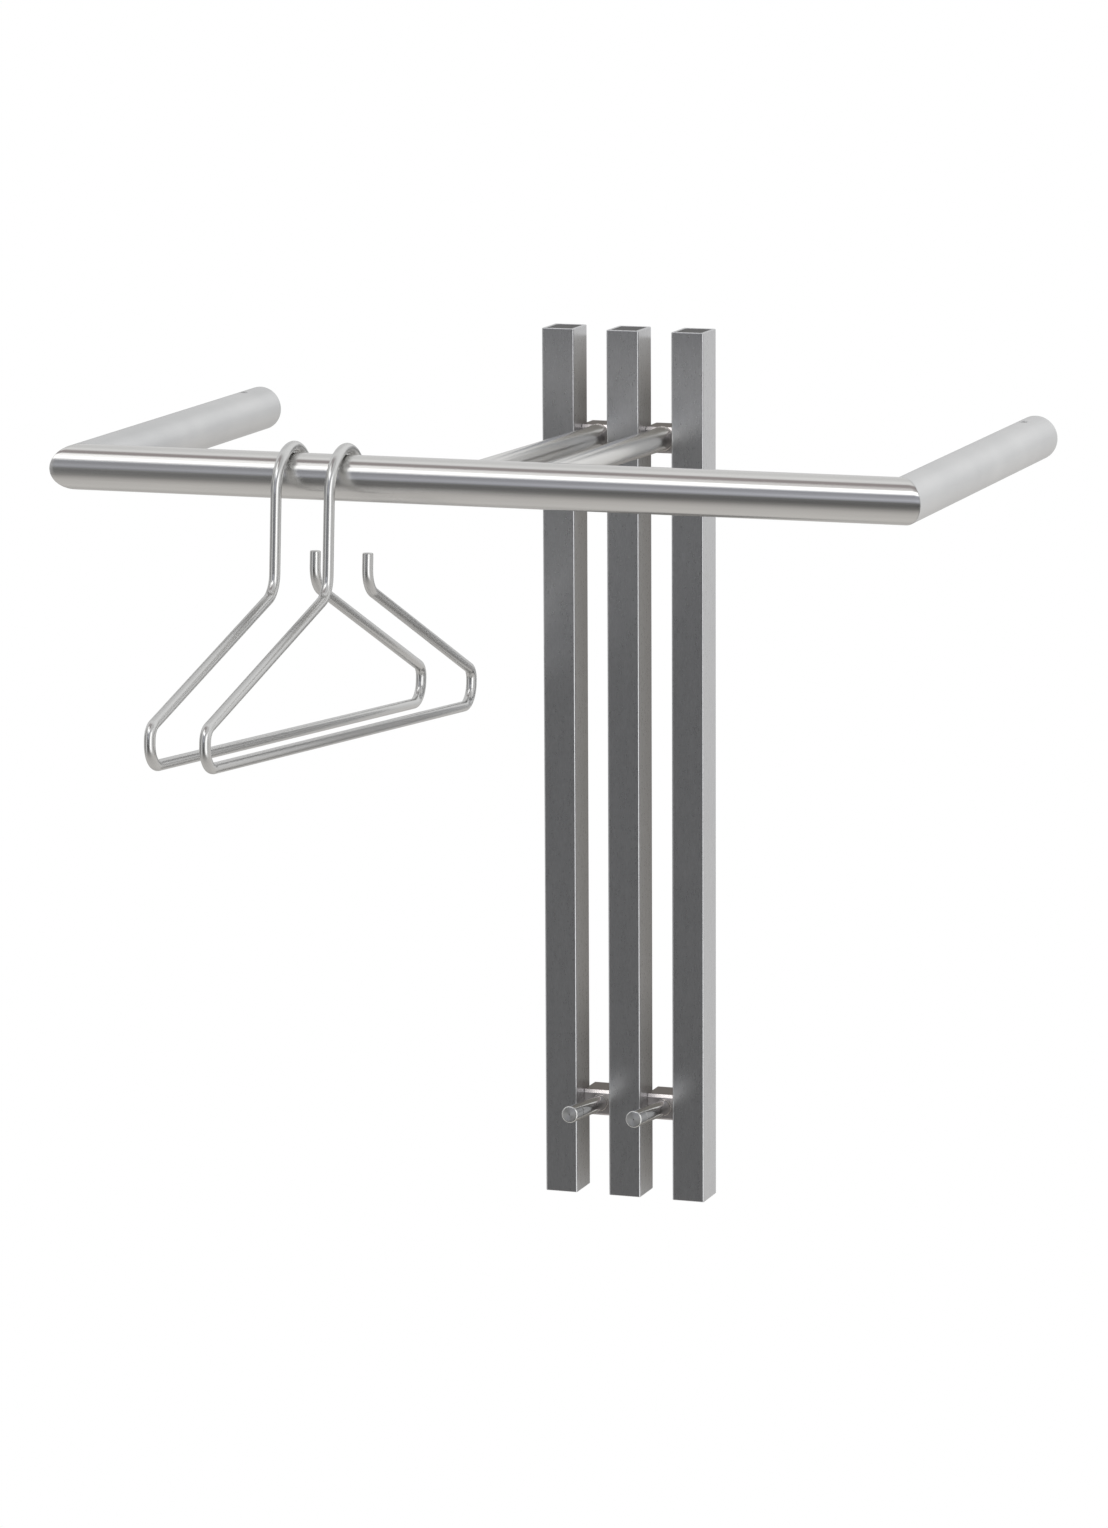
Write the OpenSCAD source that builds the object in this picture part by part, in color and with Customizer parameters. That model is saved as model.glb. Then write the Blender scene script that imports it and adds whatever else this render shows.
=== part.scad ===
// Wall hook rack: three upright tubes, a round hanging rail with two mitred
// side returns, two arms, two hook pegs and two one-piece wire hangers.
// Millimetres. X to the viewer's right, Y into the wall, Z up.
// The wall is the plane y = 0. The origin lies on the wall, midway between
// the two upper dowel bores.

/* [Uprights] */
// width of an upright tube, seen from the front
up_w = 20.5; // [18:0.5:24]
// depth of an upright tube, front to back
up_d = 25.5; // [22:0.5:30]
// length of an upright tube
up_len = 540; // [480:1:640]
// wall thickness of an upright tube
up_t = 2; // [1.5:0.25:2.5]
// outer corner radius of an upright tube
up_r = 1; // [0.75:0.25:3]
// distance between the centre lines of neighbouring uprights
pitch = 41.4; // [38:0.1:50]
// air gap between the back of the uprights and the wall
standoff = 10; // [6:0.5:14]
// height of the upright tops above the origin
up_top = 68; // [50:1:90]

/* [Crosspieces] */
// height of a crosspiece
cross_h = 16; // [14:0.5:20]
// depth of a crosspiece, from the wall to its front face
cross_d = 21.5; // [18:0.5:24]
// how far the lower crosspieces lie below the upper ones
cross_drop = 417; // [300:1:440]
// diameter of the dowel bore in the back of each crosspiece
dowel_d = 8.4; // [6:0.1:10]
// depth of the dowel bore
dowel_deep = 14; // [8:0.5:16]

/* [Rail] */
// outside diameter of the rail and of its two side returns
rail_d = 26.9; // [22:0.1:30]
// wall thickness of the rail tube
rail_t = 2; // [1.5:0.25:2.5]
// distance between the centre lines of the two side returns
rail_span = 500; // [480:1:700]
// distance of the rail's centre line from the wall
rail_y = 288; // [280:1:330]
// height of the rail's centre line above the origin
rail_z = 7.5; // [5:0.5:12]

/* [Arms] */
// diameter of the two middle arms
arm_d = 14.4; // [12:0.1:15]
// height of an arm's centre line where it leaves the crosspiece
arm_root_z = 1; // [0:0.1:1]

/* [Hook pegs] */
// diameter of a peg's shank
peg_d = 9.8; // [8:0.1:10]
// diameter of a peg's turned head
peg_head_d = 10.4; // [10.1:0.1:12]
// length of a peg's turned head
peg_head_l = 12; // [8:0.5:16]
// length of a peg, from the crosspiece to its end face
peg_len = 59; // [45:1:70]
// upward tilt of a peg in degrees
peg_tilt = 5.5; // [0:0.5:7]

/* [Wall fixing] */
// length of the turned spigot that carries a side return
spigot_len = 42; // [38:1:50]
// diameter of the wall screw bore through a spigot
spigot_bore_d = 5.5; // [4:0.1:6]
// distance of the locking screw from the wall
grub_y = 30; // [24:1:34]
// diameter of the locking screw
grub_d = 5; // [4:0.5:6]

/* [Hangers] */
// diameter of the hanger wire
wire_d = 6.4; // [5:0.1:6.6]
// overall width between the centre lines of a hanger's two ends
hanger_w = 432; // [400:1:440]
// centre-line radius of a hanger's hook
hook_r = 26.4; // [25:0.1:28]
// height of a hanger's bar below the rail's centre line
bar_drop = 149.8; // [144:0.2:160]
// slope of a hanger's shoulders in degrees
shoulder_slope = 18.8; // [16:0.1:19]
// tilt of the hangers as they hang, in degrees, wall end down
hang_tilt = 4.5; // [0:0.5:6]
// position along the rail of the hanger nearer the middle
near_x = -83.4; // [-100:0.1:-50]
// position along the rail of the hanger nearer the end
far_x = -116.1; // [-200:0.1:-112]

/* [Hidden] */
gap = pitch - up_w;
up_back = -standoff;
up_bot = up_top - up_len;
up_in_r = max(0.4, up_r - up_t / 2);
rail_r = rail_d / 2;
rail_in = rail_r - rail_t;
span2 = rail_span / 2;
arm_run = rail_y - cross_d;
arm_rise = rail_z - arm_root_z;
arm_tilt = atan2(arm_rise, arm_run);
arm_len = sqrt(arm_run * arm_run + arm_rise * arm_rise);
wire_r = wire_d / 2;
seat_gap = 0.3;
hook_drop = hook_r - wire_r - rail_r - seat_gap;
hang_mid = 5.4;
neck = 32.2;
apex_z = -65.9;
stem_y = hang_mid - neck;
stub_y = hang_mid + neck;
front_y = hang_mid - hanger_w / 2;
rear_y = hang_mid + hanger_w / 2;
hook_cy = stem_y + hook_r;
hook_cz = -sqrt(hook_drop * hook_drop - hook_cy * hook_cy);
end_z = apex_z - (hanger_w / 2 - neck) * tan(shoulder_slope);
end_room = end_z + bar_drop;
neck_bend = 15.5;
bar_bend = min(15, end_room * 0.62);
end_bend = min(8.4, (end_room - bar_bend - 0.8) / tan((90 - shoulder_slope) / 2));
stub_top = -45.6;
hook_end = -10;
facets = 64;

// rectangle with rounded corners, centred, made of straight and round pieces
module round_rect(w, d, r) {
  square([w - 2 * r, d], center = true);
  square([w, d - 2 * r], center = true);
  for (sx = [-1, 1], sy = [-1, 1])
    translate([sx * (w / 2 - r), sy * (d / 2 - r)]) circle(r = r, $fn = 32);
}

// one upright: a tube open at both ends
module upright(x) {
  color("silver") translate([x, up_back - up_d / 2, up_bot])
    linear_extrude(height = up_len) difference() {
      round_rect(up_w, up_d, up_r);
      round_rect(up_w - 2 * up_t, up_d - 2 * up_t, up_in_r);
    }
}
module upright_left() { upright(-pitch); }
module upright_centre() { upright(0); }
module upright_right() { upright(pitch); }

// closing plugs, set level with the ends of the tubes
module plugs(z) {
  color("dimgray") for (x = [-pitch, 0, pitch])
    translate([x, up_back - up_d / 2, z])
      linear_extrude(height = 8)
        round_rect(up_w - 2 * up_t - 0.1, up_d - 2 * up_t - 0.1, up_in_r);
}
module top_plugs() { plugs(up_top - 8.2); }
module bottom_plugs() { plugs(up_bot + 0.2); }

// a solid block between two uprights, with a dowel bore in its back
module crosspiece(x, z, peg) {
  color("silver") difference() {
    translate([x - gap / 2, -cross_d, z - cross_h / 2]) cube([gap, cross_d, cross_h]);
    translate([x, 0.5, z]) rotate([90, 0, 0]) cylinder(h = dowel_deep + 0.5, d = dowel_d, $fn = facets);
    if (peg) translate([x, -cross_d, z]) rotate([90 - peg_tilt, 0, 0])
      translate([0, 0, -6.1]) cylinder(h = 8, d = 6.1, $fn = facets);
  }
}
module upper_crosspiece_left() { crosspiece(-pitch / 2, 0, false); }
module upper_crosspiece_right() { crosspiece(pitch / 2, 0, false); }
module lower_crosspiece_left() { crosspiece(-pitch / 2, -cross_drop, true); }
module lower_crosspiece_right() { crosspiece(pitch / 2, -cross_drop, true); }

// an arm from a crosspiece to the back of the rail, coped to fit the rail
module arm(x) {
  color("silver") difference() {
    translate([x, -cross_d, arm_root_z]) rotate([90 - arm_tilt, 0, 0])
      translate([0, 0, -4]) cylinder(h = arm_len + 4, d = arm_d, $fn = facets);
    translate([x - 15, -cross_d, -20]) cube([30, 12, 50]);
    translate([x - 15, -rail_y, rail_z]) rotate([0, 90, 0]) cylinder(h = 30, r = rail_r, $fn = 96);
    translate([x - 15, -rail_y - 30, rail_z - 20]) cube([30, 30, 40]);
  }
}
module arm_left() { arm(-pitch / 2); }
module arm_right() { arm(pitch / 2); }

// hollow round tube along +X from x0 to x1
module tube_x(x0, x1) {
  difference() {
    translate([x0, -rail_y, rail_z]) rotate([0, 90, 0]) cylinder(h = x1 - x0, r = rail_r, $fn = 96);
    translate([x0 - 1, -rail_y, rail_z]) rotate([0, 90, 0]) cylinder(h = x1 - x0 + 2, r = rail_in, $fn = 96);
  }
}

// big block that cuts a tube on the 45 degree mitre plane at one corner
module mitre_block(s, keep) {
  translate([s * span2, -rail_y, rail_z]) rotate([0, 0, s * 45])
    translate([keep > 0 ? -60 : 0, -60, -30]) cube([60, 120, 60]);
}

// the hanging rail, both ends mitred
module rail() {
  color("silver") difference() {
    tube_x(-span2 - rail_r - 2, span2 + rail_r + 2);
    mitre_block(1, -1);
    mirror([1, 0, 0]) mitre_block(1, -1);
  }
}

// a side return from the mitre to the wall, with a tapped hole on top
module side_return(s) {
  color("silver") difference() {
    translate([s * span2, 0, rail_z]) rotate([90, 0, 0]) difference() {
      cylinder(h = rail_y + rail_r + 2, r = rail_r, $fn = 96);
      translate([0, 0, -1]) cylinder(h = rail_y + rail_r + 4, r = rail_in, $fn = 96);
    }
    if (s > 0) mitre_block(1, 1);
    else mirror([1, 0, 0]) mitre_block(1, 1);
    translate([s * span2, -grub_y, rail_z]) cylinder(h = rail_r + 2, d = grub_d + 0.1, $fn = facets);
  }
}
module return_left() { side_return(-1); }
module return_right() { side_return(1); }

// turned boss that is screwed to the wall inside a side return
module wall_spigot(s) {
  color("gainsboro") difference() {
    translate([s * span2, 0, rail_z]) rotate([90, 0, 0])
      cylinder(h = spigot_len, r = rail_in - 0.1, $fn = 96);
    translate([s * span2, 1, rail_z]) rotate([90, 0, 0])
      cylinder(h = spigot_len + 2, d = spigot_bore_d, $fn = facets);
    translate([s * span2, -spigot_len + 12, rail_z]) rotate([90, 0, 0])
      cylinder(h = 14, d = 11, $fn = facets);
    translate([s * span2, -grub_y, rail_z + rail_in - 2.4])
      cylinder(h = 6, d = grub_d + 0.1, $fn = facets);
  }
}
module wall_spigot_left() { wall_spigot(-1); }
module wall_spigot_right() { wall_spigot(1); }

// locking screw with a hexagon socket, just below the tube's surface
module grub_screw(s) {
  color("dimgray") difference() {
    translate([s * span2, -grub_y, rail_z + rail_in - 2.3])
      cylinder(h = rail_t + 1.9, d = grub_d, $fn = facets);
    translate([s * span2, -grub_y, rail_z + rail_in - 0.6])
      cylinder(h = 3, d = grub_d * 0.58, $fn = 6);
  }
}
module grub_screw_left() { grub_screw(-1); }
module grub_screw_right() { grub_screw(1); }

// hook peg: shank, turned head and a stud that enters the crosspiece
module peg_bar(x, from, len, d) {
  translate([x, -cross_d, -cross_drop]) rotate([90 - peg_tilt, 0, 0])
    translate([0, 0, from]) cylinder(h = len, d = d, $fn = facets);
}
module peg(x) {
  color("silver") union() {
    peg_bar(x, -6, 8, 6);
    difference() {
      peg_bar(x, -2, peg_len - peg_head_l + 2.5, peg_d);
      translate([x - 10, -cross_d, -cross_drop - 10]) cube([20, 12, 20]);
    }
    peg_bar(x, peg_len - peg_head_l, peg_head_l, peg_head_d);
  }
}
module peg_left() { peg(-pitch / 2); }
module peg_right() { peg(pitch / 2); }

// wire helpers, all in a plane whose first axis is Y and second is Z
// straight wire from p to q, entering the bend at each closed end a little
module wire_line(p, q, open_end = false) {
  d = [q[0] - p[0], q[1] - p[1]];
  translate([0, p[0], p[1]]) rotate([atan2(d[1], d[0]) - 90, 0, 0])
    translate([0, 0, -0.3])
      cylinder(h = norm(d) + (open_end ? 0.3 : 0.6), r = wire_r - 0.01, $fn = 48);
}
// arc of radius r about c, from angle a, turning by t degrees
module wire_arc(c, r, a, t) {
  translate([0, c[0], c[1]]) rotate([90, 0, 90]) rotate([0, 0, a])
    rotate_extrude(angle = t, $fn = 96) translate([r, 0]) circle(r = wire_r, $fn = 48);
}

// a one-piece wire hanger, drawn level, then tilted about the rail
module hanger(x) {
  s = shoulder_slope;
  nt = neck_bend * tan((90 - s) / 2);
  et = end_bend * tan((90 - s) / 2);
  color("silver") translate([x, -rail_y, rail_z]) rotate([-hang_tilt, 0, 0]) union() {
    wire_arc([hook_cy, hook_cz], hook_r, hook_end, 180 - hook_end);
    wire_line([stem_y, hook_cz], [stem_y, apex_z + nt]);
    wire_arc([stem_y - neck_bend, apex_z + nt], neck_bend, -(90 - s), 90 - s);
    wire_line([stem_y - nt * cos(s), apex_z - nt * sin(s)], [front_y + et * cos(s), end_z + et * sin(s)]);
    wire_arc([front_y + end_bend, end_z - et], end_bend, 90 + s, 90 - s);
    wire_line([front_y, end_z - et], [front_y, -bar_drop + bar_bend]);
    wire_arc([front_y + bar_bend, -bar_drop + bar_bend], bar_bend, 180, 90);
    wire_line([front_y + bar_bend, -bar_drop], [rear_y - bar_bend, -bar_drop]);
    wire_arc([rear_y - bar_bend, -bar_drop + bar_bend], bar_bend, 270, 90);
    wire_line([rear_y, -bar_drop + bar_bend], [rear_y, end_z - et]);
    wire_arc([rear_y - end_bend, end_z - et], end_bend, 0, 90 - s);
    wire_line([rear_y - et * cos(s), end_z + et * sin(s)], [stub_y + nt * cos(s), apex_z - nt * sin(s)]);
    wire_arc([stub_y + neck_bend, apex_z + nt], neck_bend, 180, 90 - s);
    wire_line([stub_y, apex_z + nt], [stub_y, stub_top], open_end = true);
  }
}
module hanger_near() { hanger(near_x); }
module hanger_far() { hanger(far_x); }

upright_left();
upright_centre();
upright_right();
upper_crosspiece_left();
upper_crosspiece_right();
lower_crosspiece_left();
lower_crosspiece_right();
top_plugs();
bottom_plugs();
arm_left();
arm_right();
rail();
return_left();
return_right();
wall_spigot_left();
wall_spigot_right();
grub_screw_left();
grub_screw_right();
peg_left();
peg_right();
hanger_near();
hanger_far();
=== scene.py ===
import math

import bmesh
import bpy
from mathutils import Matrix, Vector


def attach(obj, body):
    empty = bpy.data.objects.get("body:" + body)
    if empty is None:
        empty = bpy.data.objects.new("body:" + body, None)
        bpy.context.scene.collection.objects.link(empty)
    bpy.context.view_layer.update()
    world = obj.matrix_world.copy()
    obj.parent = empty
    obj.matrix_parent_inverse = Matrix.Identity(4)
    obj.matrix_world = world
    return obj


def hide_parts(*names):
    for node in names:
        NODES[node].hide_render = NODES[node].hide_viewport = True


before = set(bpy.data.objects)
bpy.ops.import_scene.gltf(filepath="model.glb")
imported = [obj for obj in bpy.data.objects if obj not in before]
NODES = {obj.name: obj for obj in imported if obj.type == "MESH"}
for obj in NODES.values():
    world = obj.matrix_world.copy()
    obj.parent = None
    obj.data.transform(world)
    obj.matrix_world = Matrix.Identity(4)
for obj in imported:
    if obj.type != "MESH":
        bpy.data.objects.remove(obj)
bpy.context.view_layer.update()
scene = bpy.context.scene
MM = 0.001
PI = math.pi

# ---------------------------------------------------------------- sizes, mm
UP_W, UP_D, UP_T, UP_R = 20.5, 25.5, 2.0, 1.0
PITCH = 41.4
UP_TOP, UP_BOT = 68.0, -472.0
UP_Y = -22.75
GAP = PITCH - UP_W
CR_H, CR_D, CR_DROP = 16.0, 21.5, 417.0
R_RAIL, R_IN = 13.45, 11.45
RAIL_Y, RAIL_Z, SPAN = -288.0, 7.5, 250.0
ARM_R, ARM_Z0 = 7.2, 1.0
PEG_TILT, PEG_LEN, PEG_HEAD = math.radians(5.5), 59.0, 12.0
WIRE = 3.2


# ---------------------------------------------------------------- materials
def nodes_of(mat):
    mat.use_nodes = True
    nt = mat.node_tree
    nt.nodes.clear()
    return nt


def math_node(nt, op, a, b=None, c=None, clamp=False):
    n = nt.nodes.new("ShaderNodeMath")
    n.operation = op
    n.use_clamp = clamp
    for i, v in enumerate((a, b, c)):
        if v is None:
            continue
        if isinstance(v, (int, float)):
            n.inputs[i].default_value = v
        else:
            nt.links.new(v, n.inputs[i])
    return n.outputs[0]


def ramp(nt, fac, stops, mode="LINEAR"):
    n = nt.nodes.new("ShaderNodeValToRGB")
    n.color_ramp.interpolation = mode
    els = n.color_ramp.elements
    while len(els) > 1:
        els.remove(els[-1])
    for i, (p, c) in enumerate(stops):
        e = els[0] if i == 0 else els.new(p)
        e.position = p
        if isinstance(c, (int, float)):
            c = (c, c, c)
        e.color = (c[0], c[1], c[2], 1)
    nt.links.new(fac, n.inputs[0])
    return n.outputs[0]


def noise(nt, vec, scale, detail=3.0, rough=0.5):
    n = nt.nodes.new("ShaderNodeTexNoise")
    n.inputs["Scale"].default_value = scale
    n.inputs["Detail"].default_value = detail
    n.inputs["Roughness"].default_value = rough
    nt.links.new(vec, n.inputs["Vector"])
    return n.outputs["Fac"]


def mapping(nt, vec, scale, rot=(0, 0, 0)):
    n = nt.nodes.new("ShaderNodeMapping")
    n.inputs["Scale"].default_value = scale
    n.inputs["Rotation"].default_value = rot
    nt.links.new(vec, n.inputs["Vector"])
    return n.outputs[0]


def mix_rgb(nt, fac, a, b, mode="MIX"):
    n = nt.nodes.new("ShaderNodeMix")
    n.data_type = "RGBA"
    n.blend_type = mode
    for sock, v in ((n.inputs[0], fac), (n.inputs[6], a), (n.inputs[7], b)):
        if isinstance(v, (int, float)):
            sock.default_value = v
        elif isinstance(v, tuple):
            sock.default_value = (v[0], v[1], v[2], 1)
        else:
            nt.links.new(v, sock)
    return n.outputs[2]


def steel(name, grain, base, rough, streak=0.10, bump=0.02, coarse=0.04, aniso=0.0, along=None, cloud_amp=0.015):
    """Stainless steel. grain is the scale of the noise along X, Y and Z: small along the brushing."""
    mat = bpy.data.materials.new(name)
    nt = nodes_of(mat)
    out = nt.nodes.new("ShaderNodeOutputMaterial")
    p = nt.nodes.new("ShaderNodeBsdfPrincipled")
    nt.links.new(p.outputs[0], out.inputs[0])
    p.inputs["Metallic"].default_value = 1.0
    if aniso:
        p.inputs["Anisotropic"].default_value = aniso
        if along is None:
            # turning marks: circles about the piece's own Y axis, which spread the light across them
            tan = nt.nodes.new("ShaderNodeTangent")
            tan.direction_type = "RADIAL"
            tan.axis = "Y"
            p.inputs["Anisotropic Rotation"].default_value = 0.25
        else:
            # polishing marks run round the bar, so they spread the light along it
            tan = nt.nodes.new("ShaderNodeCombineXYZ")
            for i in range(3):
                tan.inputs[i].default_value = along[i]
        nt.links.new(tan.outputs[0], p.inputs["Tangent"])
    tc = nt.nodes.new("ShaderNodeTexCoord")
    obj = tc.outputs["Object"]
    fine = noise(nt, mapping(nt, obj, grain), 1.0, 4.0, 0.65)
    wide = noise(nt, mapping(nt, obj, tuple(g * 0.22 for g in grain)), 1.0, 2.0, 0.5)
    cloud = noise(nt, obj, 18.0, 2.0, 0.5)
    lines = math_node(nt, "ADD", math_node(nt, "MULTIPLY", fine, 0.75), math_node(nt, "MULTIPLY", wide, 0.25))
    dark = tuple(c * (1 - streak) for c in base)
    light = tuple(min(1.0, c * (1 + streak)) for c in base)
    tone = ramp(nt, lines, [(0.30, dark), (0.70, light)])
    g = cloud_amp
    tint = ramp(nt, cloud, [(0.35, (1 - g, 1 - g * 0.97, 1 - g * 0.95)), (0.65, (1.0, 1.0, 0.997))])
    nt.links.new(mix_rgb(nt, 1.0, tone, tint, "MULTIPLY"), p.inputs["Base Color"])
    r = ramp(nt, lines, [(0.3, max(0.02, rough - coarse)), (0.7, rough + coarse)])
    nt.links.new(r, p.inputs["Roughness"])
    b = nt.nodes.new("ShaderNodeBump")
    b.inputs["Strength"].default_value = bump
    b.inputs["Distance"].default_value = 0.0003
    nt.links.new(lines, b.inputs["Height"])
    nt.links.new(b.outputs[0], p.inputs["Normal"])
    return mat


# The steel parts, weld aside, are all one stainless steel. Their base colours differ part by part so that each part
# comes out as light or as dark as the light falling on it. That is painted light and shade, not a difference in the
# metal.
BASE = (0.62, 0.62, 0.61)
M_UP = steel("steel_upright", (1300, 1300, 300), (0.545, 0.549, 0.560), 0.28, 0.09, 0.004, 0.012, cloud_amp=0.02)
M_RAIL = steel("steel_rail", (14, 1300, 1300), (0.65, 0.645, 0.635), 0.185, 0.03, 0.006, 0.012, 0.92, (1, 0, 0))
# painted shade: the left return is a darker copy of the right return's steel, the same metal with a lower base colour
M_RET_L_PAINTED_SHADE = steel("steel_return_left_painted_shade", (1300, 60, 1300), (0.605, 0.608, 0.612), 0.25, 0.03, 0.008, 0.02, cloud_amp=0.09)
M_RET = steel("steel_return", (1300, 60, 1300), (0.665, 0.668, 0.672), 0.25, 0.03, 0.008, 0.02, cloud_amp=0.07)
M_ARM = steel("steel_arm", (1300, 60, 1300), (0.72, 0.715, 0.70), 0.26, 0.02, 0.0, 0.008)
M_BLOCK = steel("steel_block", (500, 1000, 1300), (0.60, 0.565, 0.56), 0.34, 0.03, 0.0, 0.01)
# the chamfer steel: its smoother, grain-aligned finish is real, and its base colour, lighter than the block's, is a
# painted highlight
M_EDGE_PAINTED_HIGHLIGHT = steel("steel_block_edge_painted_highlight", (500, 1000, 1300), (0.70, 0.66, 0.65), 0.24, 0.02, 0.0, 0.01, 0.9, (1, 0, 0))
M_WIRE = steel("steel_wire", (300, 300, 300), (0.58, 0.58, 0.575), 0.22, 0.01, 0.0, 0.004)
M_PEG = steel("steel_peg", (900, 120, 900), (0.62, 0.62, 0.61), 0.10, 0.02, 0.0, 0.01)
M_FACE = steel("steel_turned_face", (1500, 1500, 1500), (0.62, 0.62, 0.61), 0.30, 0.05, 0.02, 0.03, 0.85)
M_SPIGOT = steel("steel_spigot", (120, 900, 120), (0.60, 0.59, 0.57), 0.26, 0.10, 0.05)
M_WELD = steel("steel_weld", (700, 700, 700), (0.62, 0.585, 0.55), 0.20, 0.08, 0.04)


def plastic(name, col, rough):
    mat = bpy.data.materials.new(name)
    nt = nodes_of(mat)
    out = nt.nodes.new("ShaderNodeOutputMaterial")
    p = nt.nodes.new("ShaderNodeBsdfPrincipled")
    nt.links.new(p.outputs[0], out.inputs[0])
    tc = nt.nodes.new("ShaderNodeTexCoord")
    grit = noise(nt, tc.outputs["Object"], 2600.0, 3.0, 0.6)
    wide = noise(nt, tc.outputs["Object"], 90.0, 2.0, 0.5)
    c = ramp(nt, wide, [(0.3, tuple(v * 0.85 for v in col)), (0.7, tuple(v * 1.15 for v in col))])
    nt.links.new(c, p.inputs["Base Color"])
    nt.links.new(ramp(nt, grit, [(0.3, rough - 0.06), (0.7, rough + 0.06)]), p.inputs["Roughness"])
    b = nt.nodes.new("ShaderNodeBump")
    b.inputs["Strength"].default_value = 0.25
    b.inputs["Distance"].default_value = 0.0002
    nt.links.new(grit, b.inputs["Height"])
    nt.links.new(b.outputs[0], p.inputs["Normal"])
    return mat


M_PLUG = plastic("plastic_plug", (0.035, 0.034, 0.033), 0.55)
M_SCREW = steel("steel_screw", (500, 500, 500), (0.16, 0.16, 0.17), 0.35, 0.15, 0.10)

# ---------------------------------------------------------------- mesh tools


def make(name, verts, faces, mat, nodes=(), body="rack", slot=None, smooth=True, wn=True):
    me = bpy.data.meshes.new(name)
    me.from_pydata([(x * MM, y * MM, z * MM) for x, y, z in verts], [], faces)
    me.validate()
    bm = bmesh.new()
    bm.from_mesh(me)
    bmesh.ops.recalc_face_normals(bm, faces=bm.faces)
    bm.to_mesh(me)
    bm.free()
    ob = bpy.data.objects.new(name, me)
    scene.collection.objects.link(ob)
    return dress(ob, mat, nodes, body, smooth, wn)


def dress(ob, mat, nodes=(), body="rack", smooth=True, wn=True):
    me = ob.data
    me.materials.clear()
    me.materials.append(mat)
    for p in me.polygons:
        p.use_smooth = smooth
    if wn and smooth:
        m = ob.modifiers.new("normals", "WEIGHTED_NORMAL")
        m.weight = 60
        m.keep_sharp = True
    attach(ob, body)
    if nodes:
        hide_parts(*nodes)
    return ob


def grid_faces(rings, n, closed_rings=False, caps=True):
    """Faces between rings of n points each, capped at both ends unless the rings close on themselves."""
    faces = []
    count = rings if closed_rings else rings - 1
    for i in range(count):
        a, b = i * n, ((i + 1) % rings) * n
        for j in range(n):
            k = (j + 1) % n
            faces.append((a + j, a + k, b + k, b + j))
    if caps and not closed_rings:
        faces.append(tuple(range(n)))
        faces.append(tuple(range((rings - 1) * n, rings * n)))
    return faces


def rr_profile(w, d, r, seg=8):
    """Rounded rectangle, w by d with corner radius r, counter-clockwise."""
    pts = []
    r = max(r, 0.02)
    for cx, cy, a0 in ((w / 2 - r, d / 2 - r, 0), (-w / 2 + r, d / 2 - r, 90), (-w / 2 + r, -d / 2 + r, 180), (w / 2 - r, -d / 2 + r, 270)):
        for i in range(seg + 1):
            a = math.radians(a0 + 90.0 * i / seg)
            pts.append((cx + r * math.cos(a), cy + r * math.sin(a)))
    return pts


def apply_boolean(ob, cutter, solver="EXACT"):
    m = ob.modifiers.new("cut", "BOOLEAN")
    m.operation = "DIFFERENCE"
    m.object = cutter
    m.solver = solver
    bpy.context.view_layer.update()
    dg = bpy.context.evaluated_depsgraph_get()
    me = bpy.data.meshes.new_from_object(ob.evaluated_get(dg))
    ob.modifiers.remove(m)
    ob.data = me
    bpy.data.objects.remove(cutter)
    return ob


def lathe_mesh(name, profile, n=64):
    """Closed profile of (axial, radius) turned about +Z; returns a bare object in millimetres times MM."""
    verts, faces = [], []
    m = len(profile)
    for z, r in profile:
        for j in range(n):
            a = 2 * PI * j / n
            verts.append((r * math.cos(a) * MM, r * math.sin(a) * MM, z * MM))
    open_ends = profile[0][1] < 1e-6 and profile[-1][1] < 1e-6
    if open_ends:
        verts, idx = [], []
        for z, r in profile:
            if r < 1e-6:
                idx.append([len(verts)])
                verts.append((0, 0, z * MM))
            else:
                idx.append(list(range(len(verts), len(verts) + n)))
                verts += [(r * math.cos(2 * PI * j / n) * MM, r * math.sin(2 * PI * j / n) * MM, z * MM) for j in range(n)]
        for a, b in zip(idx, idx[1:]):
            for j in range(n):
                k = (j + 1) % n
                if len(a) == 1 and len(b) > 1:
                    faces.append((a[0], b[j], b[k]))
                elif len(b) == 1 and len(a) > 1:
                    faces.append((a[j], a[k], b[0]))
                elif len(a) > 1:
                    faces.append((a[j], a[k], b[k], b[j]))
    else:
        faces = grid_faces(m, n, closed_rings=True)
    me = bpy.data.meshes.new(name)
    me.from_pydata(verts, [], faces)
    bm = bmesh.new()
    bm.from_mesh(me)
    bmesh.ops.recalc_face_normals(bm, faces=bm.faces)
    bm.to_mesh(me)
    bm.free()
    ob = bpy.data.objects.new(name, me)
    scene.collection.objects.link(ob)
    return ob


def place(ob, matrix):
    ob.data.transform(matrix)
    ob.data.update()
    return ob


def rounded(profile_pts, fillets, seg=4):
    """Rounds the corners of an open or closed (axial, radius) polyline; fillets maps index to radius."""
    out = []
    n = len(profile_pts)
    for i, p in enumerate(profile_pts):
        r = fillets.get(i, 0)
        if not r:
            out.append(p)
            continue
        a, b = Vector(profile_pts[i - 1]), Vector(profile_pts[(i + 1) % n])
        c = Vector(p)
        u, v = (a - c).normalized(), (b - c).normalized()
        ang = u.angle(v)
        t = min(r / math.tan(ang / 2), (a - c).length * 0.49, (b - c).length * 0.49)
        rr = t * math.tan(ang / 2)
        s, e = c + u * t, c + v * t
        mid = c + (u + v).normalized() * (rr / math.sin(ang / 2))
        a0 = math.atan2((s - mid).y, (s - mid).x)
        a1 = math.atan2((e - mid).y, (e - mid).x)
        d = (a1 - a0 + PI) % (2 * PI) - PI
        for k in range(seg + 1):
            q = a0 + d * k / seg
            out.append((mid.x + rr * math.cos(q), mid.y + rr * math.sin(q)))
    return out


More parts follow.
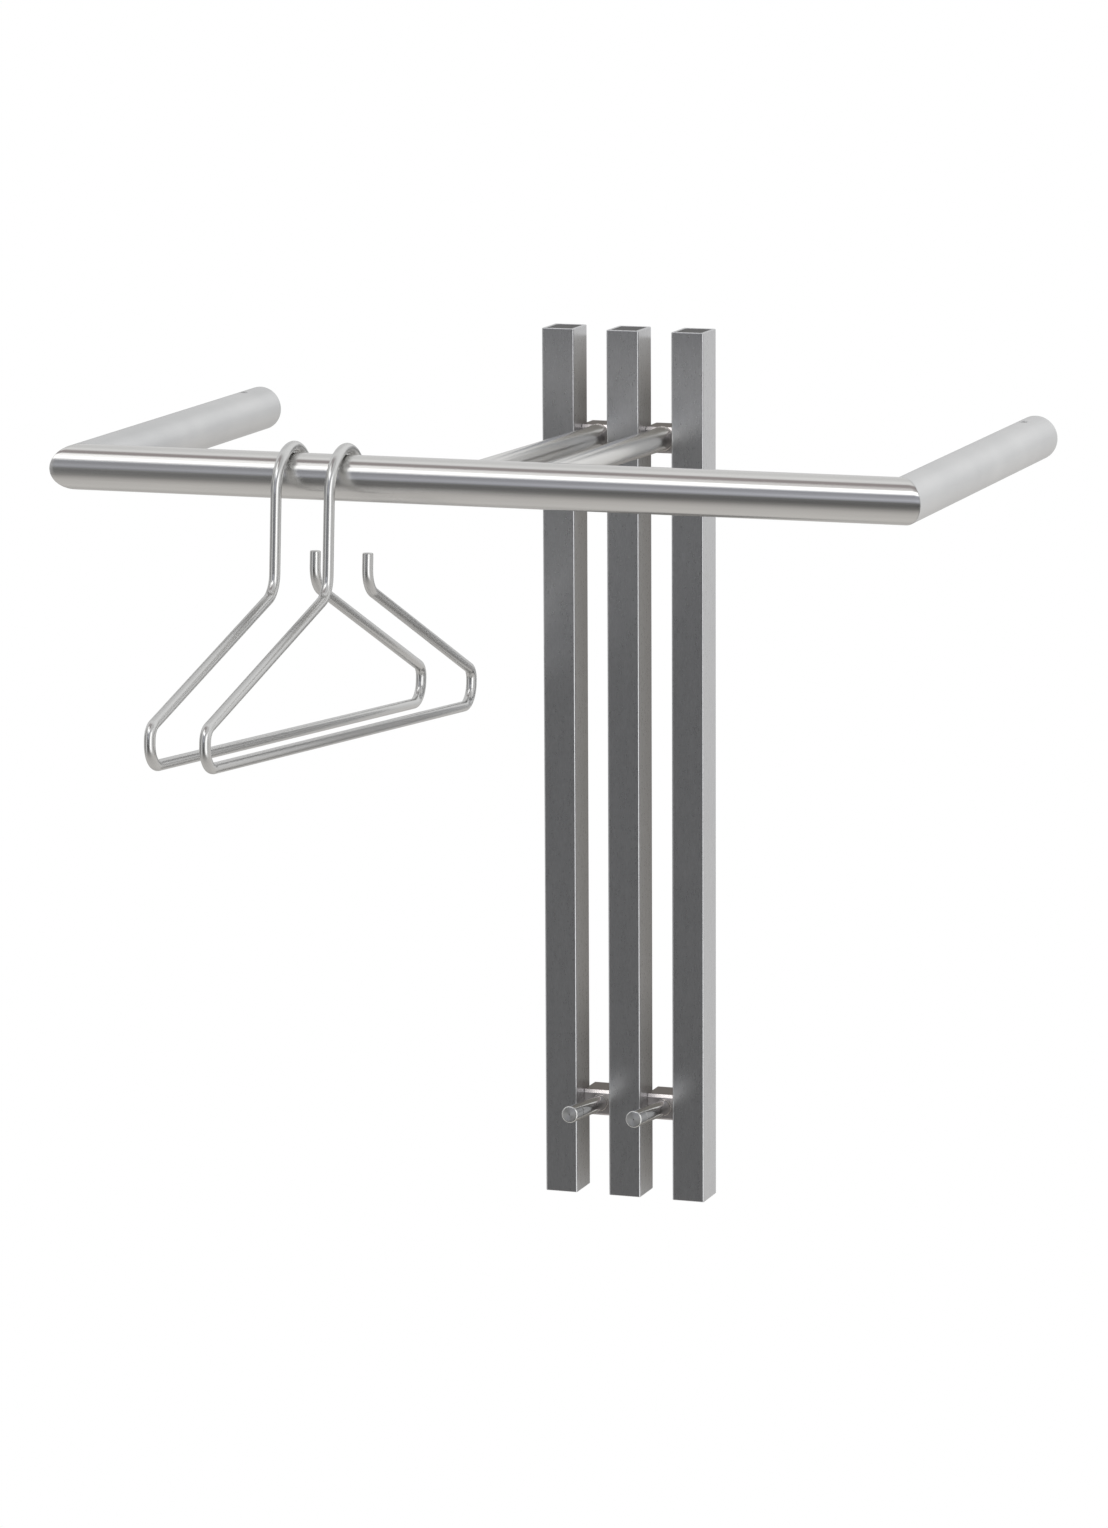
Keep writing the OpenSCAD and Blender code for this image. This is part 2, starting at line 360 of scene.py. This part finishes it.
# ---------------------------------------------------------------- uprights
def upright(name, x):
    e = 0.45
    seq = [(0, UP_BOT + e), (e * 0.29, UP_BOT + e * 0.29), (e, UP_BOT), (UP_T - 0.25, UP_BOT), (UP_T, UP_BOT + 0.25),
           (UP_T, UP_TOP - 0.25), (UP_T - 0.25, UP_TOP), (e, UP_TOP), (e * 0.29, UP_TOP - e * 0.29), (0, UP_TOP - e)]
    verts = []
    n = 0
    for off, z in seq:
        pr = rr_profile(UP_W - 2 * off, UP_D - 2 * off, max(0.4, UP_R - off) if off < 1.5 else 0.5, 8)
        n = len(pr)
        verts += [(x + a, UP_Y + b, z) for a, b in pr]
    make(name + "_tube", verts, grid_faces(len(seq), n, closed_rings=True), M_UP, [name], slot="brushed_steel")


for nm, ux in (("upright_left", -PITCH), ("upright_centre", 0.0), ("upright_right", PITCH)):
    upright(nm, ux)


def plug_set(name, z0, up):
    verts, faces = [], []
    for x in (-PITCH, 0.0, PITCH):
        z1 = z0 + 8.0
        seq = [(0.5, z0), (0, z0 + 0.5), (0, z1 - 0.5), (0.5, z1)]
        if not up:
            seq = [(0.5, z0), (0, z0 + 0.5), (0, z1 - 0.5), (0.5, z1)]
        base = len(verts)
        n = 0
        for off, z in seq:
            pr = rr_profile(UP_W - 2 * UP_T - 0.1 - 2 * off, UP_D - 2 * UP_T - 0.1 - 2 * off, max(0.4, 1 - off), 6)
            n = len(pr)
            verts += [(x + a, UP_Y + b, z) for a, b in pr]
        faces += [tuple(base + i for i in f) for f in grid_faces(len(seq), n)]
    make(name + "_set", verts, faces, M_PLUG, [name], slot="plug_plastic")


plug_set("top_plugs", UP_TOP - 8.2, True)
plug_set("bottom_plugs", UP_BOT + 0.2, False)


# ---------------------------------------------------------------- crosspieces
def crosspiece(name, x, z):
    """Solid block with ground chamfers along its front edges and a drilled back."""
    # outline in (y, z): front chamfers are wider than the back ones
    h = CR_H / 2
    out = [(0, -h + 0.6), (0, h - 0.6), (-0.6, h), (-CR_D + 1.32, h), (-CR_D + 1.16, h - 0.06), (-CR_D + 0.05, h - 1.9), (-CR_D, h - 2.05),
           (-CR_D, -h + 1.2), (-CR_D + 0.08, -h + 1.0), (-CR_D + 0.8, -h + 0.08), (-CR_D + 1.0, -h), (-0.6, -h)]
    verts = []
    n = len(out)
    half = GAP / 2
    for xx, sc in ((-half, 0.25), (-half + 0.25, 0.0), (half - 0.25, 0.0), (half, 0.25)):
        for y, zz in out:
            cy, cz2 = y + CR_D / 2, zz
            k = 1 - sc / (CR_D / 2)
            verts.append((x + xx, -CR_D / 2 + cy * k, z + cz2 * (1 - sc / h)))
    me = bpy.data.meshes.new(name + "_block")
    me.from_pydata([tuple(c * MM for c in v) for v in verts], [], grid_faces(4, n))
    bm = bmesh.new()
    bm.from_mesh(me)
    bmesh.ops.recalc_face_normals(bm, faces=bm.faces)
    bm.to_mesh(me)
    bm.free()
    ob = bpy.data.objects.new(name + "_block", me)
    scene.collection.objects.link(ob)
    bore = lathe_mesh("bore", [(-1.2, 0), (-1.2, 4.9), (0.0, 4.6), (0.4, 4.2), (14.0, 4.2), (16.2, 0)], 64)
    place(bore, Matrix.Translation(Vector((x, 0, z)) * MM) @ Matrix.Rotation(PI / 2, 4, "X"))
    apply_boolean(ob, bore)
    dress(ob, M_BLOCK, [name])
    # the chamfer faces that face front and up take the chamfer steel, whose lighter base colour is a painted highlight
    ob.data.materials.append(M_EDGE_PAINTED_HIGHLIGHT)
    for p in ob.data.polygons:
        if -0.95 < p.normal.y < -0.6 and p.normal.z > 0.3:
            p.material_index = 1
            p.use_smooth = False


for nm, sx, cz in (("upper_crosspiece_left", -1, 0.0), ("upper_crosspiece_right", 1, 0.0),
                   ("lower_crosspiece_left", -1, -CR_DROP), ("lower_crosspiece_right", 1, -CR_DROP)):
    crosspiece(nm, sx * PITCH / 2, cz)


# ---------------------------------------------------------------- rail and returns
def rail():
    n = 160
    verts = []
    seq = [("L", 0.0, 0.28), ("L", 0.28, 0.0), ("L", 3.0, 0.0), ("R", 3.0, 0.0), ("R", 0.28, 0.0), ("R", 0.0, 0.28)]
    for side, back, inset in seq:
        r = R_RAIL - inset
        for j in range(n):
            a = 2 * PI * j / n
            dy, dz = r * math.cos(a), r * math.sin(a)
            if side == "L":
                xx = -SPAN + dy + back
            else:
                xx = SPAN - dy - back
            verts.append((xx, RAIL_Y + dy, RAIL_Z + dz))
    make("rail_tube", verts, grid_faces(len(seq), n), M_RAIL, ["rail"], slot="brushed_steel")


rail()


def side_return(name, s):
    n = 160
    verts = []
    # (end, distance along the tube from that end, inset of the radius)
    seq = [("M", 0.0, 0.28), ("M", 0.28, 0.0), ("M", 3.0, 0.0), ("W", 0.5, 0.0), ("W", 0.15, 0.15), ("W", 0.0, 0.5),
           ("W", 0.0, R_RAIL - R_IN - 0.3), ("W", 0.3, R_RAIL - R_IN), ("W", 60.0, R_RAIL - R_IN)]
    for end, back, inset in seq:
        r = R_RAIL - inset
        for j in range(n):
            a = 2 * PI * j / n
            dx, dz = r * math.cos(a), r * math.sin(a)
            if end == "M":
                # mitre plane: (x - s*SPAN) = -s*(y - RAIL_Y)
                yy = RAIL_Y - s * dx + back
            else:
                yy = -back
            verts.append((s * SPAN + dx, yy, RAIL_Z + dz))
    # the left return takes the darker copy of the steel, which is painted shade
    ob = make(name + "_tube", verts, grid_faces(len(seq), n), M_RET if s > 0 else M_RET_L_PAINTED_SHADE, [], slot="brushed_steel")
    # tapped hole for the locking screw
    hole = lathe_mesh("hole", [(9.0, 0), (9.0, 2.55), (12.95, 2.55), (13.5, 3.1), (16, 3.1), (16, 0)], 64)
    place(hole, Matrix.Translation(Vector((s * SPAN, -30, RAIL_Z)) * MM))
    ob.modifiers.clear()
    apply_boolean(ob, hole)
    m = ob.modifiers.new("normals", "WEIGHTED_NORMAL")
    m.weight = 60
    for p in ob.data.polygons:
        p.use_smooth = True
    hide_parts(name)


side_return("return_left", -1)
side_return("return_right", 1)


def spigot(name, s):
    pr = [(0, 2.75), (0, R_IN - 0.1), (42, R_IN - 0.1), (42, 5.5), (30, 5.5), (30, 2.75)]
    pr = rounded(pr, {0: 0.3, 1: 0.6, 2: 0.8, 3: 0.4, 5: 0.3})
    ob = lathe_mesh(name + "_boss", pr, 96)
    place(ob, Matrix.Translation(Vector((s * SPAN, 0, RAIL_Z)) * MM) @ Matrix.Rotation(PI / 2, 4, "X"))
    dress(ob, M_SPIGOT, [name])


spigot("wall_spigot_left", -1)
spigot("wall_spigot_right", 1)


def grub(name, s):
    z0, z1 = R_IN - 2.3, R_IN + 1.6
    ob = lathe_mesh(name + "_screw", rounded([(z0, 0), (z0, 2.5), (z1, 2.5), (z1, 0)], {1: 0.4, 2: 0.45}), 48)
    hexa = lathe_mesh("hex", [(z1 - 2.2, 0), (z1 - 2.2, 1.45), (z1 + 1, 1.45), (z1 + 1, 0)], 6)
    place(hexa, Matrix.Rotation(0.3, 4, "Z"))
    apply_boolean(ob, hexa)
    place(ob, Matrix.Translation(Vector((s * SPAN, -30, RAIL_Z)) * MM))
    dress(ob, M_SCREW, [name])


grub("grub_screw_left", -1)
grub("grub_screw_right", 1)


# ---------------------------------------------------------------- arms
def sweep_closed(name, pts, normals, rad, mat, n=12, wobble=0.0, **kw):
    """A bead along a closed line of points, standing on a surface with these normals."""
    verts = []
    m = len(pts)
    for i, p in enumerate(pts):
        t = (Vector(pts[(i + 1) % m]) - Vector(pts[i - 1])).normalized()
        nn = Vector(normals[i])
        nn = (nn - t * nn.dot(t)).normalized()
        bb = t.cross(nn)
        r = rad * (1 + wobble * math.sin(i * 2 * PI / 4.0))
        for j in range(n):
            a = 2 * PI * j / n
            q = Vector(p) + (nn * math.cos(a) + bb * math.sin(a)) * r
            verts.append(tuple(q))
    return make(name, verts, grid_faces(m, n, closed_rings=True), mat, **kw)


def arm(name, x):
    run, rise = -RAIL_Y - CR_D, RAIL_Z - ARM_Z0
    tilt = math.atan2(rise, run)
    ax = Vector((0, -math.cos(tilt), math.sin(tilt)))
    ux = Vector((1, 0, 0))
    vz = Vector((0, math.sin(tilt), math.cos(tilt)))
    o = Vector((x, -CR_D, ARM_Z0))
    n = 96
    root, tip = [], []
    for j in range(n):
        a = 2 * PI * j / n
        off = ux * (ARM_R * math.cos(a)) + vz * (ARM_R * math.sin(a))
        p = o + off
        # to the crosspiece plane y = -CR_D
        t0 = (p.y + CR_D) / -ax.y
        root.append(p + ax * t0)
        # to the rail's surface
        dy, dz = p.y - RAIL_Y, p.z - RAIL_Z
        qa = ax.y ** 2 + ax.z ** 2
        qb = 2 * (dy * ax.y + dz * ax.z)
        qc = dy * dy + dz * dz - R_RAIL ** 2
        t1 = (-qb - math.sqrt(qb * qb - 4 * qa * qc)) / (2 * qa)
        tip.append(p + ax * t1)
    verts = []
    rows = [[p - ax * 0.3 for p in root], [p + ax * 0.6 for p in root], [p + ax * 3 for p in root],
            [p - ax * 4 for p in tip], [p - ax * 0.6 for p in tip], [p + ax * 0.4 for p in tip]]
    for row in rows:
        verts += [tuple(p) for p in row]
    make(name + "_bar", verts, grid_faces(len(rows), n), M_ARM, [name], slot="brushed_steel")
    ra = [tuple(p) for p in root]
    rn = [tuple((p - o).normalized()) for p in root]
    sweep_closed(name + "_root_weld", ra, rn, 0.62, M_WELD, wobble=0.10, slot="brushed_steel")
    ta = [tuple(p) for p in tip]
    tn = [tuple(((p - (o + ax * (p - o).dot(ax))).normalized() + Vector((0, p.y - RAIL_Y, p.z - RAIL_Z)).normalized()).normalized()) for p in tip]
    sweep_closed(name + "_rail_weld", ta, tn, 0.75, M_WELD, wobble=0.10, slot="brushed_steel")


arm("arm_left", -PITCH / 2)
arm("arm_right", PITCH / 2)


# ---------------------------------------------------------------- hook pegs
def peg(name, x):
    h0 = PEG_LEN - PEG_HEAD
    pts = [(-0.6, 0), (-0.6, 4.9), (h0 - 1.3, 4.9), (h0 - 0.9, 4.35), (h0 - 0.1, 4.35), (h0, 5.2), (PEG_LEN, 5.2), (PEG_LEN, 0)]
    pr = rounded(pts, {5: 0.7, 6: 0.85}, 8)
    ob = lathe_mesh(name + "_hook", pr, 96)
    # +Z of the lathe goes to (0, -cos t, sin t)
    rot = Matrix.Translation(Vector((x, -CR_D, -CR_DROP)) * MM) @ Matrix.Rotation(PI / 2 - PEG_TILT, 4, "X")
    place(ob, rot)
    dress(ob, M_PEG, [name])
    # the end face, faced on a lathe, with a fine centre dimple
    disc = [(PEG_LEN - 0.5, 0), (PEG_LEN - 0.5, 4.2), (PEG_LEN + 0.02, 4.3), (PEG_LEN + 0.02, 0.5), (PEG_LEN - 0.2, 0)]
    ob = lathe_mesh(name + "_face", rounded(disc, {2: 0.05}, 2), 96)
    place(ob, rot)
    dress(ob, M_FACE)
    bead = []
    nn = []
    for j in range(72):
        a = 2 * PI * j / 72
        bead.append((x + 4.9 * math.cos(a), -CR_D - 0.05, -CR_DROP + 4.92 * math.sin(a)))
        nn.append((math.cos(a), 0, math.sin(a)))
    sweep_closed(name + "_seat", bead, nn, 0.4, M_WELD, n=10, wobble=0.0, slot="brushed_steel")


peg("peg_left", -PITCH / 2)
peg("peg_right", PITCH / 2)


# ---------------------------------------------------------------- hangers
def hanger_line():
    """Centre line of the wire in (y, z) about the rail's centre, before the hanger's tilt."""
    s = math.radians(18.8)
    mid, neck, apex = 5.4, 32.2, -65.9
    hw, hook_r, drop = 216.0, 26.4, 149.8
    stem, stub = mid - neck, mid + neck
    fy, ry = mid - hw, mid + hw
    hcy = stem + hook_r
    hd = hook_r - WIRE - R_RAIL - 0.3
    hcz = -math.sqrt(hd * hd - hcy * hcy)
    end_z = apex - (hw - neck) * math.tan(s)
    room = end_z + drop
    nb = 15.5
    bb = min(15.0, room * 0.62)
    kt = math.tan((PI / 2 - s) / 2)
    eb = min(8.4, (room - bb - 0.8) / kt)
    nt, et = nb * kt, eb * kt
    pts = []

    def arc(cy, cz, r, a0, a1, step=3.0):
        k = max(4, int(abs(a1 - a0) / step))
        for i in range(k + 1):
            a = math.radians(a0 + (a1 - a0) * i / k)
            pts.append((cy + r * math.cos(a), cz + r * math.sin(a)))

    sd = math.degrees(s)
    arc(hcy, hcz, hook_r, -10, 180)
    pts.append((stem, (hcz + apex + nt) / 2))
    arc(stem - nb, apex + nt, nb, 0, -(90 - sd))
    arc(fy + eb, end_z - et, eb, 90 + sd, 180)
    arc(fy + bb, -drop + bb, bb, 180, 270)
    arc(ry - bb, -drop + bb, bb, 270, 360)
    arc(ry - eb, end_z - et, eb, 0, 90 - sd)
    arc(stub + nb, apex + nt, nb, 270 - sd, 180)
    pts.append((stub, -45.6))
    out = [pts[0]]
    for p in pts[1:]:
        if math.dist(p, out[-1]) > 0.05:
            out.append(p)
    # long straights get points too, so the weighting of normals stays even
    res = [out[0]]
    for p in out[1:]:
        q = res[-1]
        d = math.dist(p, q)
        k = int(d / 12)
        for i in range(1, k + 1):
            f = i / (k + 1)
            res.append((q[0] + (p[0] - q[0]) * f, q[1] + (p[1] - q[1]) * f))
        res.append(p)
    return res


def hanger(name, x):
    line = hanger_line()
    n = 28
    tilt = math.radians(-4.5)
    c, s = math.cos(tilt), math.sin(tilt)
    rows = []
    m = len(line)

    def tangent(i):
        a, b = line[max(0, i - 1)], line[min(m - 1, i + 1)]
        t = Vector((b[0] - a[0], b[1] - a[1]))
        return t.normalized()

    for i, p in enumerate(line):
        t = tangent(i)
        rows.append((p, t, WIRE))
    # slightly domed ends
    def cap(p, t, sign):
        out = []
        for k in (1.0, 0.75, 0.5, 0.25):
            rr = WIRE - 0.9 + 0.9 * math.cos(k * PI / 2)
            back = 0.9 * (1 - math.sin(k * PI / 2))
            out.append(((p[0] - sign * t.x * back, p[1] - sign * t.y * back), t, rr))
        return out
    first, last = rows[0], rows[-1]
    head = cap(first[0], first[1], -1)
    tail = list(reversed(cap(last[0], last[1], 1)))
    body = rows[:]
    body[0] = ((first[0][0] + first[1].x * 0.9, first[0][1] + first[1].y * 0.9), first[1], WIRE)
    body[-1] = ((last[0][0] - last[1].x * 0.9, last[0][1] - last[1].y * 0.9), last[1], WIRE)
    rows = head + body + tail
    verts = []
    for (py, pz), t, r in rows:
        ny, nz = -t.y, t.x
        for j in range(n):
            a = 2 * PI * j / n
            yy = py + ny * r * math.sin(a)
            zz = pz + nz * r * math.sin(a)
            verts.append((x + r * math.cos(a), RAIL_Y + yy * c - zz * s, RAIL_Z + yy * s + zz * c))
    make(name + "_wire", verts, grid_faces(len(rows), n), M_WIRE, [name], body=name, slot="satin_wire")


hanger("hanger_near", -83.4)
hanger("hanger_far", -116.1)

# ---------------------------------------------------------------- stage, light
world = bpy.data.worlds.new("studio")
scene.world = world
world.use_nodes = True
wt = world.node_tree
wt.nodes.clear()
wout = wt.nodes.new("ShaderNodeOutputWorld")
tc = wt.nodes.new("ShaderNodeTexCoord")
sep = wt.nodes.new("ShaderNodeSeparateXYZ")
wt.links.new(tc.outputs["Generated"], sep.inputs[0])
dx, dy, dz = sep.outputs[0], sep.outputs[1], sep.outputs[2]
# psi: 0 in front, 90 overhead, 180 behind, -90 underneath, as a share of the circle
psi = math_node(wt, "ARCTAN2", dz, math_node(wt, "MULTIPLY", dy, -1.0))
share = math_node(wt, "ADD", math_node(wt, "DIVIDE", psi, 2 * PI), 0.5)
K = 4.0


def st(deg, v, tint=(1, 1, 1)):
    return ((deg + 180) / 360.0, tuple(v * t / K for t in tint))


WARM = (1.0, 0.975, 0.945)
COOL = (0.955, 0.98, 1.085)
BROWN = (1.07, 0.97, 0.965)
low = [st(-180, 0.80), st(-150, 0.72, WARM), st(-100, 0.72, WARM), st(-66, 0.66, WARM), st(-54, 0.57, WARM), st(-42, 0.43, WARM),
       st(-32, 0.25, WARM), st(-22, 0.12, WARM), st(-12, 0.09), st(-2, 0.135)]
back = [st(112, 1.02), st(138, 1.0), st(162, 1.0), st(180, 0.80)]
front_l = ramp(wt, share, low + [st(8, 0.18, COOL), st(18, 0.25, COOL), st(28, 0.20, COOL), st(38, 0.19, COOL), st(45, 0.40, COOL), st(51, 2.2),
                                 st(73, 2.2), st(77, 1.2), st(82, 0.36, BROWN), st(98, 0.38, BROWN), st(105, 0.98)] + back)
front_r = ramp(wt, share, low + [st(3, 0.42, COOL), st(11, 0.78, COOL), st(22, 0.52, COOL), st(32, 0.42, COOL), st(37, 0.8, COOL), st(42, 2.3),
                                 st(55, 2.3), st(58, 1.0), st(63, 0.32, BROWN), st(90, 0.38, BROWN), st(97, 0.98)] + back)
# to either side of the big soft light it is even
plain = ramp(wt, share, low + [st(8, 0.30, COOL), st(40, 0.42, COOL), st(60, 0.75), st(90, 0.75)] + back)


def smooth(v, a, b):
    n = wt.nodes.new("ShaderNodeMapRange")
    n.interpolation_type = "SMOOTHSTEP"
    n.inputs["From Min"].default_value = a
    n.inputs["From Max"].default_value = b
    wt.links.new(v, n.inputs["Value"])
    return n.outputs[0]


front = mix_rgb(wt, smooth(dx, -0.39, -0.30), front_l, front_r)
lit = math_node(wt, "MULTIPLY", smooth(dx, -0.66, -0.50), smooth(dx, 0.15, -0.05))
front = mix_rgb(wt, math_node(wt, "MAXIMUM", lit, smooth(dy, -0.05, 0.1)), plain, front)
# the back of the room is a little brighter on the right
back_gain = ramp(wt, math_node(wt, "ADD", math_node(wt, "MULTIPLY", dx, 0.5), 0.5), [(0.25, 0.80), (0.46, 0.84), (0.60, 1.02), (0.72, 1.06)])
front = mix_rgb(wt, smooth(dy, 0.2, 0.6), front, mix_rgb(wt, 1.0, front, back_gain, "MULTIPLY"))
xs = math_node(wt, "ADD", math_node(wt, "MULTIPLY", dx, 0.5), 0.5)


def xs_at(x):
    return x * 0.5 + 0.5


def sv(x, v):
    return (xs_at(x), v / K)


side_v = ramp(wt, xs, [sv(-1.0, 0.36), sv(-0.88, 0.32), sv(-0.80, 0.95), sv(-0.64, 0.95), sv(-0.54, 0.36), sv(-0.3, 0.36), sv(0.12, 0.40),
                       sv(0.42, 0.8), sv(0.54, 2.1), sv(0.74, 2.1), sv(0.86, 0.9), sv(1.0, 0.70)])
side_w = ramp(wt, xs, [(xs_at(-1.0), 1.0), (xs_at(-0.50), 1.0), (xs_at(-0.42), 0.0), (xs_at(0.0), 0.0), (xs_at(0.3), 1.0), (1.0, 1.0)])
w = math_node(wt, "MULTIPLY", side_w, smooth(dy, 0.30, -0.10))
w = math_node(wt, "MULTIPLY", w, smooth(dz, 0.72, 0.50))
w = math_node(wt, "MULTIPLY", w, smooth(dz, -0.60, -0.35))
mixed = mix_rgb(wt, w, front, side_v)
bg = wt.nodes.new("ShaderNodeBackground")
bg.inputs["Strength"].default_value = K
wt.links.new(mixed, bg.inputs["Color"])
white = wt.nodes.new("ShaderNodeBackground")
white.inputs["Color"].default_value = (1, 1, 1, 1)
white.inputs["Strength"].default_value = 1.0
lp = wt.nodes.new("ShaderNodeLightPath")
ms = wt.nodes.new("ShaderNodeMixShader")
wt.links.new(lp.outputs["Is Camera Ray"], ms.inputs[0])
wt.links.new(bg.outputs[0], ms.inputs[1])
wt.links.new(white.outputs[0], ms.inputs[2])
wt.links.new(ms.outputs[0], wout.inputs[0])

# emissive cards behind the uprights, which only show in their reflections. Their dim glow is painted shade, standing
# for the wall in the uprights' shadow.
def card(name, corners, colour_stops, axis, size):
    me = bpy.data.meshes.new(name)
    me.from_pydata([tuple(c * MM for c in p) for p in corners], [], [(0, 1, 2, 3)])
    ob = bpy.data.objects.new(name, me)
    scene.collection.objects.link(ob)
    mat = bpy.data.materials.new(name)
    nt = nodes_of(mat)
    out = nt.nodes.new("ShaderNodeOutputMaterial")
    em = nt.nodes.new("ShaderNodeEmission")
    nt.links.new(em.outputs[0], out.inputs[0])
    g = nt.nodes.new("ShaderNodeTexCoord")
    sp = nt.nodes.new("ShaderNodeSeparateXYZ")
    nt.links.new(g.outputs["Object"], sp.inputs[0])
    lo, hi = size
    f = math_node(nt, "DIVIDE", math_node(nt, "SUBTRACT", sp.outputs[axis], lo * MM), (hi - lo) * MM)
    nt.links.new(ramp(nt, f, colour_stops), em.inputs["Color"])
    me.materials.append(mat)
    ob.visible_camera = False
    ob.visible_diffuse = False
    mat.cycles.emission_sampling = "NONE"
    return ob


# painted shade on the cards: T is the shadowed wall, D marks darker bands behind the crosspieces, and E is lighter at
# the top and bottom ends
T = (0.315, 0.301, 0.281)
D = (0.215, 0.205, 0.190)
E = (0.47, 0.46, 0.445)
for i, (xa, xb) in enumerate(((-44, -12), (-3, 29.5))):
    card("wall_card_%d" % i, [(xa, 1.5, -484), (xb, 1.5, -484), (xb, 1.5, 60), (xa, 1.5, 60)],
         [(0.0, E), (0.035, T), (0.08, D), (0.18, D), (0.26, T), (0.80, T), (0.86, D), (0.93, D), (0.96, T), (1.0, E)], 2, (-484, 60))

# ---------------------------------------------------------------- camera
cam = bpy.data.cameras.new("camera")
cam.lens = 151.8
cam.sensor_width = 36.0
cam.clip_start = 0.1
cam.clip_end = 100
co = bpy.data.objects.new("camera", cam)
scene.collection.objects.link(co)
rx, ry, rz = 0.17937679980848434, 0.004896453394781692, 0.3330117354182341
f = Vector((-math.sin(rz), math.cos(rz), 0))
r = Vector((math.cos(rz), math.sin(rz), 0))
d = Vector((0, 0, -1))
f2 = math.cos(rx) * f + math.sin(rx) * d
d2 = -math.sin(rx) * f + math.cos(rx) * d
r3 = math.cos(ry) * r + math.sin(ry) * d2
d3 = -math.sin(ry) * r + math.cos(ry) * d2
co.matrix_world = Matrix((
    (r3.x, -d3.x, -f2.x, 1.2316), (r3.y, -d3.y, -f2.y, -3.7264), (r3.z, -d3.z, -f2.z, 0.5066), (0, 0, 0, 1)))
scene.camera = co

scene.view_settings.view_transform = "Standard"
scene.view_settings.look = "None"
scene.view_settings.exposure = 0.0
scene.view_settings.gamma = 1.0

bpy.context.view_layer.update()
